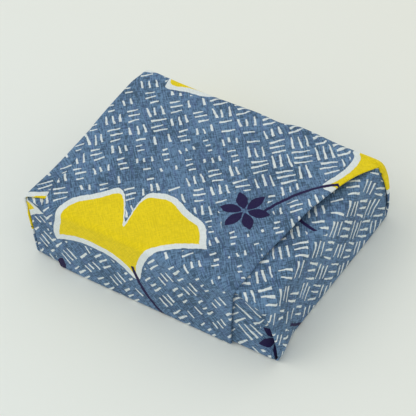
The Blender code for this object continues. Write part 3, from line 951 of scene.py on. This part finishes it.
class Bench:
    """Adds nodes to one material."""

    def __init__(self, name: str) -> None:
        """Makes a material and clears its nodes."""
        self.material = bpy.data.materials.new(name)
        self.material.use_nodes = True
        self.tree = self.material.node_tree
        self.tree.nodes.clear()

    def add(self, kind: str, settings: dict | None = None,
            inputs: dict | None = None) -> bpy.types.Node:
        """Adds one node.

        Args:
            kind: The node's type.
            settings: Its settings, set first.
            inputs: Values or links, by the socket's name or number.

        Returns:
            The node.
        """
        node = self.tree.nodes.new(kind)
        for name, value in (settings or {}).items():
            setattr(node, name, value)
        for key, value in (inputs or {}).items():
            if isinstance(value, Flow):
                self.tree.links.new(value.socket, node.inputs[key])
            else:
                node.inputs[key].default_value = value
        return node

    def math(self, operation: str, *values: "Flow | float", clamp: bool = False) -> Flow:
        """A Math node's result."""
        settings = {"operation": operation, "use_clamp": clamp}
        node = self.add("ShaderNodeMath", settings, dict(enumerate(values)))
        return Flow(self, node.outputs[0])

    def inside(self, distance: Flow, soft: float) -> Flow:
        """1 where a distance is below 0 and 0 where it is above, with a narrow soft edge."""
        return self.math("MULTIPLY_ADD", distance, -1 / soft, 0.5, clamp=True)

    def blend(self, share: Flow, low: "Flow | tuple", high: "Flow | tuple") -> Flow:
        """A colour between two."""
        settings = {"data_type": "RGBA"}
        node = self.add("ShaderNodeMix", settings, {0: share, 6: low, 7: high})
        return Flow(self, node.outputs[2])

    def held(self, value: Flow) -> Flow:
        """The value, kept from 0 to 1."""
        return self.math("ADD", value, 0.0, clamp=True)

    def vector(self, x: "Flow | float", y: "Flow | float", z: "Flow | float" = 0.0) -> Flow:
        """A vector from three numbers."""
        return Flow(self, self.add("ShaderNodeCombineXYZ", None, {0: x, 1: y, 2: z}).outputs[0])

    def noise(self, vector: Flow, scale: float, detail: float = 2.0) -> Flow:
        """A noise value from about 0 to 1."""
        inputs = {"Vector": vector, "Scale": scale, "Detail": detail}
        return Flow(self, self.add("ShaderNodeTexNoise", None, inputs).outputs[0])

    def chance(self, vector: Flow) -> tuple[Flow, Flow, Flow]:
        """Three unrelated values from 0 to 1 for each whole-numbered vector."""
        node = self.add("ShaderNodeTexWhiteNoise", {"noise_dimensions": "3D"}, {"Vector": vector})
        parts = self.add("ShaderNodeSeparateColor", None, {0: Flow(self, node.outputs[1])})
        return tuple(Flow(self, parts.outputs[i]) for i in range(3))

    def finish(self, colour: Flow, roughness: "Flow | float", bump: Flow,
               depth: float, sheen: float) -> bpy.types.Material:
        """Ends the material in one shader.

        Args:
            colour: Its base colour.
            roughness: Its roughness.
            bump: The height that bends its normal.
            depth: How deep the height is, in metres.
            sheen: The weight of its sheen.

        Returns:
            The material.
        """
        normal = self.add("ShaderNodeBump", None, {"Distance": depth, "Height": bump})
        shader = self.add("ShaderNodeBsdfPrincipled", None, {
            "Base Color": colour, "Roughness": roughness, "Sheen Weight": sheen,
            "Sheen Roughness": 0.5, "Specular IOR Level": 0.25,
            "Normal": Flow(self, normal.outputs[0])})
        out = self.add("ShaderNodeOutputMaterial")
        self.tree.links.new(shader.outputs[0], out.inputs[0])
        return self.material


def darker(colour: tuple, share: float) -> tuple:
    """A colour with this share of its light."""
    return tuple(part * share for part in colour[:3]) + (1,)


@dataclass(frozen=True)
class PrintedCotton:
    """Fine plain-weave cotton, dyed slate blue and hand-printed with leaves and short strokes."""

    blue_dark: tuple = (0.044, 0.090, 0.152, 1)
    blue_light: tuple = (0.146, 0.262, 0.428, 1)
    violet: tuple = (0.095, 0.130, 0.345, 1)
    white: tuple = (0.800, 0.845, 0.840, 1)
    yellow: tuple = (0.900, 0.690, 0.003, 1)
    navy: tuple = (0.010, 0.004, 0.055, 1)
    thread: float = 0.00052
    cell: float = 0.0132
    stroke_long: float = 0.29
    stroke_thick: float = 0.00062
    # How many strokes a cell holds, how far they slant as a share of the cell, and how far their
    # places and ends stray.
    stroke_count: float = 3.0
    stroke_slant: float = 0.26
    stroke_stray: float = 0.0009
    end_stray: float = 0.0022
    # The scale of the patches of long and short strokes, what each stroke's own chance, the patch
    # and the start give its half length, and how many of the strokes are missing.
    patch_scale: float = 0.23
    long_mix: Triple = (0.30, 2.6, -0.45)
    missing: float = 0.07
    # What each stroke's own chance, the start and the place along it give its half width.
    wide_mix: Triple = (0.5, 0.75, 0.9)
    repeat: float = 0.150
    shift: Pair = (0.065, -0.030)
    leaf: float = 0.062
    # How far each leaf is turned for its column and for its line, and the first one's turn.
    leaf_turns: Triple = (2.4, 1.3, 0.6)
    # Where the fan starts below the leaf's middle, as a share of the leaf, and how wide it opens:
    # a power, a gain and a start.
    fan_base: float = 0.42
    fan: Triple = (0.7, 0.90, 0.22)
    # The rim's waves, how many and how high, its cleft's depth and sharpness, and its roundness.
    rim_wave: Pair = (13.0, 0.020)
    notch: float = 0.42
    notch_sharp: float = 160.0
    rim_round: float = 0.08
    # The stem's curve, half width, upper end in metres, and lower end as a share of the leaf.
    stem_curve: float = 9.0
    stem_half: float = 0.0012
    stem_top: float = 0.008
    stem_foot: float = 0.62
    margin: float = 0.0042
    # The bare ground kept round the flowers and stems, and round the leaves' white border.
    flower_gap: float = 0.0030
    leaf_gap: float = 0.0016
    petal: Pair = (0.0034, 0.0070)
    petal_middle: float = 0.0086
    edge: float = 0.00022
    # The print's wavering edges: the scale of the wobble and how far it goes.
    wobble: Pair = (260.0, 0.0014)
    # How much ink is left on a dark thread and how much more on a light one, and how dark the
    # inks get there.
    wear: Pair = (0.88, 0.14)
    white_worn: float = 0.90
    yellow_worn: float = 0.86
    # The scales of the streaks along and across the threads and of the slow patches, and what
    # both kinds of streak, the patches and the start give the heather.
    streaks: Pair = (200.0, 1250.0)
    slow_scale: float = 40.0
    heather_mix: tuple[float, float, float, float] = (2.8, 2.3, 1.5, 2.80)
    # The scales of the violet streaks, and their gain, their start and their strength.
    tint_streaks: Pair = (60.0, 420.0)
    tint_mix: Triple = (2.6, 1.25, 0.5)
    # How high the weave and the heather stand, how deep all of it is in metres, and the finish.
    relief: Pair = (0.5, 0.8)
    relief_depth: float = 0.00010
    roughness: Pair = (0.86, 0.08)
    sheen: float = 0.05

    def threads(self, bench: Bench) -> tuple[Flow, Flow]:
        """The two places along the threads of the flat cloth, in metres."""
        flat = bench.add("ShaderNodeUVMap", {"uv_map": "flat_cloth"})
        parts = bench.add("ShaderNodeSeparateXYZ", None, {0: Flow(bench, flat.outputs[0])})
        u, v = Flow(bench, parts.outputs[0]), Flow(bench, parts.outputs[1])
        turn = math.sqrt(0.5)
        return (u + v) * turn, (v - u) * turn

    def strokes(self, bench: Bench, s: Flow, t: Flow) -> Flow:
        """White strokes in threes, laid across each other from cell to cell as in wickerwork."""
        i = bench.math("FLOOR", s / self.cell)
        j = bench.math("FLOOR", t / self.cell)
        a = s / self.cell - i - 0.5
        b = t / self.cell - j - 0.5
        odd = bench.math("FLOORED_MODULO", i + j, 2.0)
        across = a + (b - a) * odd
        along = b + (a - b) * odd
        count = self.stroke_count
        k = bench.math("FLOOR", across * count + count / 2)
        one, two, three = bench.chance(bench.vector(i, j, k))
        off = (across * count + (count - 1) / 2 - k) * (self.cell / count)
        off = off + (three - 0.5) * along * (self.cell * self.stroke_slant)
        off = off + (one - 0.5) * self.stroke_stray
        slow = bench.noise(bench.vector(i, j, 2.5), self.patch_scale, 1.0)
        own, patch, start = self.long_mix
        half_long = (one * own + slow * patch + start) * (self.stroke_long * self.cell)
        half_long = half_long - bench.math("LESS_THAN", three, self.missing) * self.cell
        own, start, taper = self.wide_mix
        half_wide = (two * own + start + along * taper) * self.stroke_thick
        ends = along * self.cell + (two - 0.5) * self.end_stray
        ends = bench.math("ABSOLUTE", ends) - half_long
        sides = bench.math("ABSOLUTE", off) - half_wide
        return bench.math("MAXIMUM", ends, sides)

    def half_drop(self, bench: Bench, s: Flow, t: Flow) -> tuple[Flow, Flow, Flow]:
        """The column of the layout, the place across from its middle, and the place along it."""
        column = bench.math("FLOOR", s / self.repeat)
        odd = bench.math("FLOORED_MODULO", column, 2.0)
        return column, s - (column + 0.5) * self.repeat, t + odd * (self.repeat / 2)

    def leaf_place(self, bench: Bench, s: Flow, t: Flow) -> tuple[Flow, Flow]:
        """The place within one repeat of the layout, with each leaf turned its own way."""
        column, x, along = self.half_drop(bench, s, t)
        line = bench.math("FLOOR", along / self.repeat)
        y = along - (line + 0.5) * self.repeat
        by_column, by_line, first = self.leaf_turns
        angle = column * by_column + line * by_line + first
        c, n = bench.math("COSINE", angle), bench.math("SINE", angle)
        return x * c - y * n, x * n + y * c

    def leaf_distance(self, bench: Bench, x: Flow, y: Flow) -> tuple[Flow, Flow]:
        """How far a place is outside the fan-shaped leaf, and outside its stem."""
        raised = y + self.leaf * self.fan_base
        away = bench.math("SQRT", x * x + raised * raised)
        turn = bench.math("ARCTAN2", x, raised)
        off = bench.math("ABSOLUTE", turn)
        cleft = bench.math("EXPONENT", turn * turn * -self.notch_sharp) * self.notch
        wave = bench.math("SINE", turn * self.rim_wave[0]) * self.rim_wave[1]
        rim = away - (1.0 - cleft + wave - turn * turn * self.rim_round) * self.leaf
        power, gain, start = self.fan
        spread_out = bench.math("POWER", away / self.leaf, power) * gain + start
        sides = (off - spread_out) * away
        beside = bench.math("ABSOLUTE", x + raised * raised * self.stem_curve) - self.stem_half
        stem = bench.math("MAXIMUM", beside, raised - self.stem_top)
        stem = bench.math("MAXIMUM", stem, -raised - self.leaf * self.stem_foot)
        return bench.math("MAXIMUM", rim, sides), stem

    def flowers(self, bench: Bench, s: Flow, t: Flow) -> Flow:
        """How far a place is outside the six-petalled flowers between the leaves."""
        _, x, along = self.half_drop(bench, s, t)
        y = along - bench.math("ROUND", along / self.repeat) * self.repeat
        away = bench.math("SQRT", x * x + y * y)
        sixth = math.pi / 3
        turn = bench.math("ARCTAN2", x, y) + 2 * math.pi
        turn = bench.math("FLOORED_MODULO", turn, sixth) - sixth / 2
        beside = bench.math("ABSOLUTE", away * bench.math("SINE", turn))
        ahead = (away * bench.math("COSINE", turn) - self.petal_middle) / self.petal[1]
        return beside - (1.0 - ahead * ahead) * self.petal[0]

    def material(self) -> bpy.types.Material:
        """The cloth's material."""
        bench = Bench("printed_cotton")
        s, t = self.threads(bench)
        fine = self.heather(bench, s, t)
        scale, reach = self.wobble
        du = (bench.noise(bench.vector(s, t), scale) - 0.5) * reach
        dv = (bench.noise(bench.vector(t, s, 1.0), scale) - 0.5) * reach
        ps, pt = s + du + self.shift[0], t + dv + self.shift[1]
        leaf, stem = self.leaf_distance(bench, *self.leaf_place(bench, ps, pt))
        flowers = self.flowers(bench, ps, pt)
        clear = bench.math("MINIMUM", stem, flowers) - self.flower_gap
        clear = bench.math("MINIMUM", clear, leaf - self.margin - self.leaf_gap)
        strokes = bench.math("MAXIMUM", self.strokes(bench, ps, pt), -clear)
        strokes = bench.inside(strokes, self.edge)
        band = bench.inside(leaf - self.margin, self.edge)
        fill = bench.inside(leaf, self.edge)
        dark = bench.inside(bench.math("MINIMUM", stem, flowers), self.edge)
        ink = fine * self.wear[1] + self.wear[0]
        ground = bench.blend(fine, self.blue_dark, self.blue_light)
        ground = bench.blend(self.tint(bench, s, t), ground, self.violet)
        white_ink = bench.blend(fine, darker(self.white, self.white_worn), self.white)
        yellow_ink = bench.blend(fine, darker(self.yellow, self.yellow_worn), self.yellow)
        colour = bench.blend(strokes * ink, ground, white_ink)
        colour = bench.blend(band, colour, white_ink)
        colour = bench.blend(fill, colour, yellow_ink)
        colour = bench.blend(dark, colour, self.navy)
        step = 2 * math.pi / self.thread
        weave = bench.math("SINE", s * step) * bench.math("SINE", t * step)
        height = weave * self.relief[0] + fine * self.relief[1]
        roughness = self.roughness[0] - fine * self.roughness[1]
        return bench.finish(colour, roughness, height, self.relief_depth, self.sheen)

    def heather(self, bench: Bench, s: Flow, t: Flow) -> Flow:
        """Uneven threads: streaks both ways and slow patches, from 0 to 1."""
        along, across = self.streaks
        one = bench.noise(bench.vector(s * along, t * across), 1.0, 1.0)
        two = bench.noise(bench.vector(s * across, t * along, 4.0), 1.0, 1.0)
        slow = bench.noise(bench.vector(s, t), self.slow_scale, 3.0)
        first, second, patch, start = self.heather_mix
        return bench.held(one * first + two * second + slow * patch - start)

    def tint(self, bench: Bench, s: Flow, t: Flow) -> Flow:
        """How far the threads lean to violet, in long streaks, from 0 to 1."""
        along, across = self.tint_streaks
        streaks = bench.noise(bench.vector(s * along, t * across, 9.0), 1.0, 2.0)
        gain, start, strength = self.tint_mix
        return bench.held(streaks * gain - start) * strength


@dataclass(frozen=True)
class Studio:
    """A plain pale floor, soft light and the photograph's camera."""

    floor_size: float = 8.0
    floor_cool: tuple = (0.812, 0.840, 0.818, 1)
    floor_warm: tuple = (0.830, 0.826, 0.765, 1)
    # The floor's warm patches, their scale and gain, and how the warmth grows to the right and
    # away from a start.
    warm_patches: Pair = (3.0, 0.4)
    warm_growth: Triple = (0.9, 1.9, 0.3)
    floor_roughness: float = 0.9
    # The paper's grain: its scale, and its depth in metres.
    grain: Pair = (900.0, 0.00002)
    sky_colour: tuple = (0.965, 1.0, 0.985, 1)
    sky_strength: float = 0.86
    key_place: tuple = (-1.05, -0.85, 1.75)
    key_size: float = 1.3
    key_power: float = 6.5
    key_colour: tuple = (1.0, 0.985, 0.94)
    azimuth: float = 42.1
    elevation: float = 46.6
    roll: float = -10.1
    distance: float = 1.246
    lens: float = 176.4
    frame_pixels: float = 416.0
    shift_pixels: Pair = (-3.3, 26.8)

    def build(self) -> None:
        """Makes the floor, the lights and the camera."""
        self.build_floor()
        self.build_light()
        self.build_camera()

    def build_floor(self) -> None:
        """A flat floor under the parcel."""
        bpy.ops.object.select_all(action="DESELECT")
        bpy.ops.mesh.primitive_plane_add(size=self.floor_size)
        floor = bpy.context.object
        floor.name = "floor"
        bench = Bench("floor_paper")
        place = Flow(bench, bench.add("ShaderNodeTexCoord").outputs["Object"])
        parts = bench.add("ShaderNodeSeparateXYZ", None, {0: place})
        across, away = Flow(bench, parts.outputs[0]), Flow(bench, parts.outputs[1])
        right, back, start = self.warm_growth
        warmth = bench.noise(place, self.warm_patches[0]) * self.warm_patches[1]
        warmth = bench.held(warmth + across * right + away * back + start)
        colour = bench.blend(warmth, self.floor_cool, self.floor_warm)
        grain = bench.noise(place, self.grain[0])
        material = bench.finish(colour, self.floor_roughness, grain, self.grain[1], 0.0)
        floor.data.materials.append(material)

    def build_light(self) -> None:
        """An even sky and one broad light from the upper left."""
        world = bpy.data.worlds.new("pale_sky")
        world.use_nodes = True
        sky = world.node_tree.nodes["Background"]
        sky.inputs["Color"].default_value = self.sky_colour
        sky.inputs["Strength"].default_value = self.sky_strength
        bpy.context.scene.world = world
        bpy.context.scene.view_settings.view_transform = "Standard"
        data = bpy.data.lights.new("key", "AREA")
        data.size = self.key_size
        data.energy = self.key_power
        data.color = self.key_colour
        key = bpy.data.objects.new("key", data)
        key.location = self.key_place
        key.rotation_euler = (-Vector(self.key_place)).to_track_quat("-Z", "Y").to_euler()
        bpy.context.scene.collection.objects.link(key)

    def build_camera(self) -> None:
        """The camera at the photograph's angle, distance and roll."""
        az, el, roll = (math.radians(a) for a in (self.azimuth, self.elevation, self.roll))
        back = Vector((math.sin(az) * math.cos(el), -math.cos(az) * math.cos(el), math.sin(el)))
        right = Vector((math.cos(az), math.sin(az), 0))
        up = back.cross(right)
        level = math.cos(roll) * right + math.sin(roll) * up
        upright = math.cos(roll) * up - math.sin(roll) * right
        data = bpy.data.cameras.new("camera")
        data.lens = self.lens
        data.shift_x = self.shift_pixels[0] / self.frame_pixels
        data.shift_y = self.shift_pixels[1] / self.frame_pixels
        camera = bpy.data.objects.new("camera", data)
        turn = Matrix((level, upright, back)).transposed().to_4x4()
        camera.matrix_world = Matrix.Translation(BOX_PLACE + back * self.distance) @ turn
        bpy.context.scene.collection.objects.link(camera)
        bpy.context.scene.camera = camera


def main() -> None:
    logging.basicConfig(level=logging.INFO, format="%(name)s: %(message)s")
    Studio().build()
    wrap = WrappedCloth()
    cloth = wrap.build()
    cloth.data.materials.append(PrintedCotton().material())
    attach(cloth, "root")
    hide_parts("furoshiki_cloth")
    LOG.info("%s: %d faces", cloth.name, len(cloth.data.polygons))


if __name__ == "__main__":
    main()
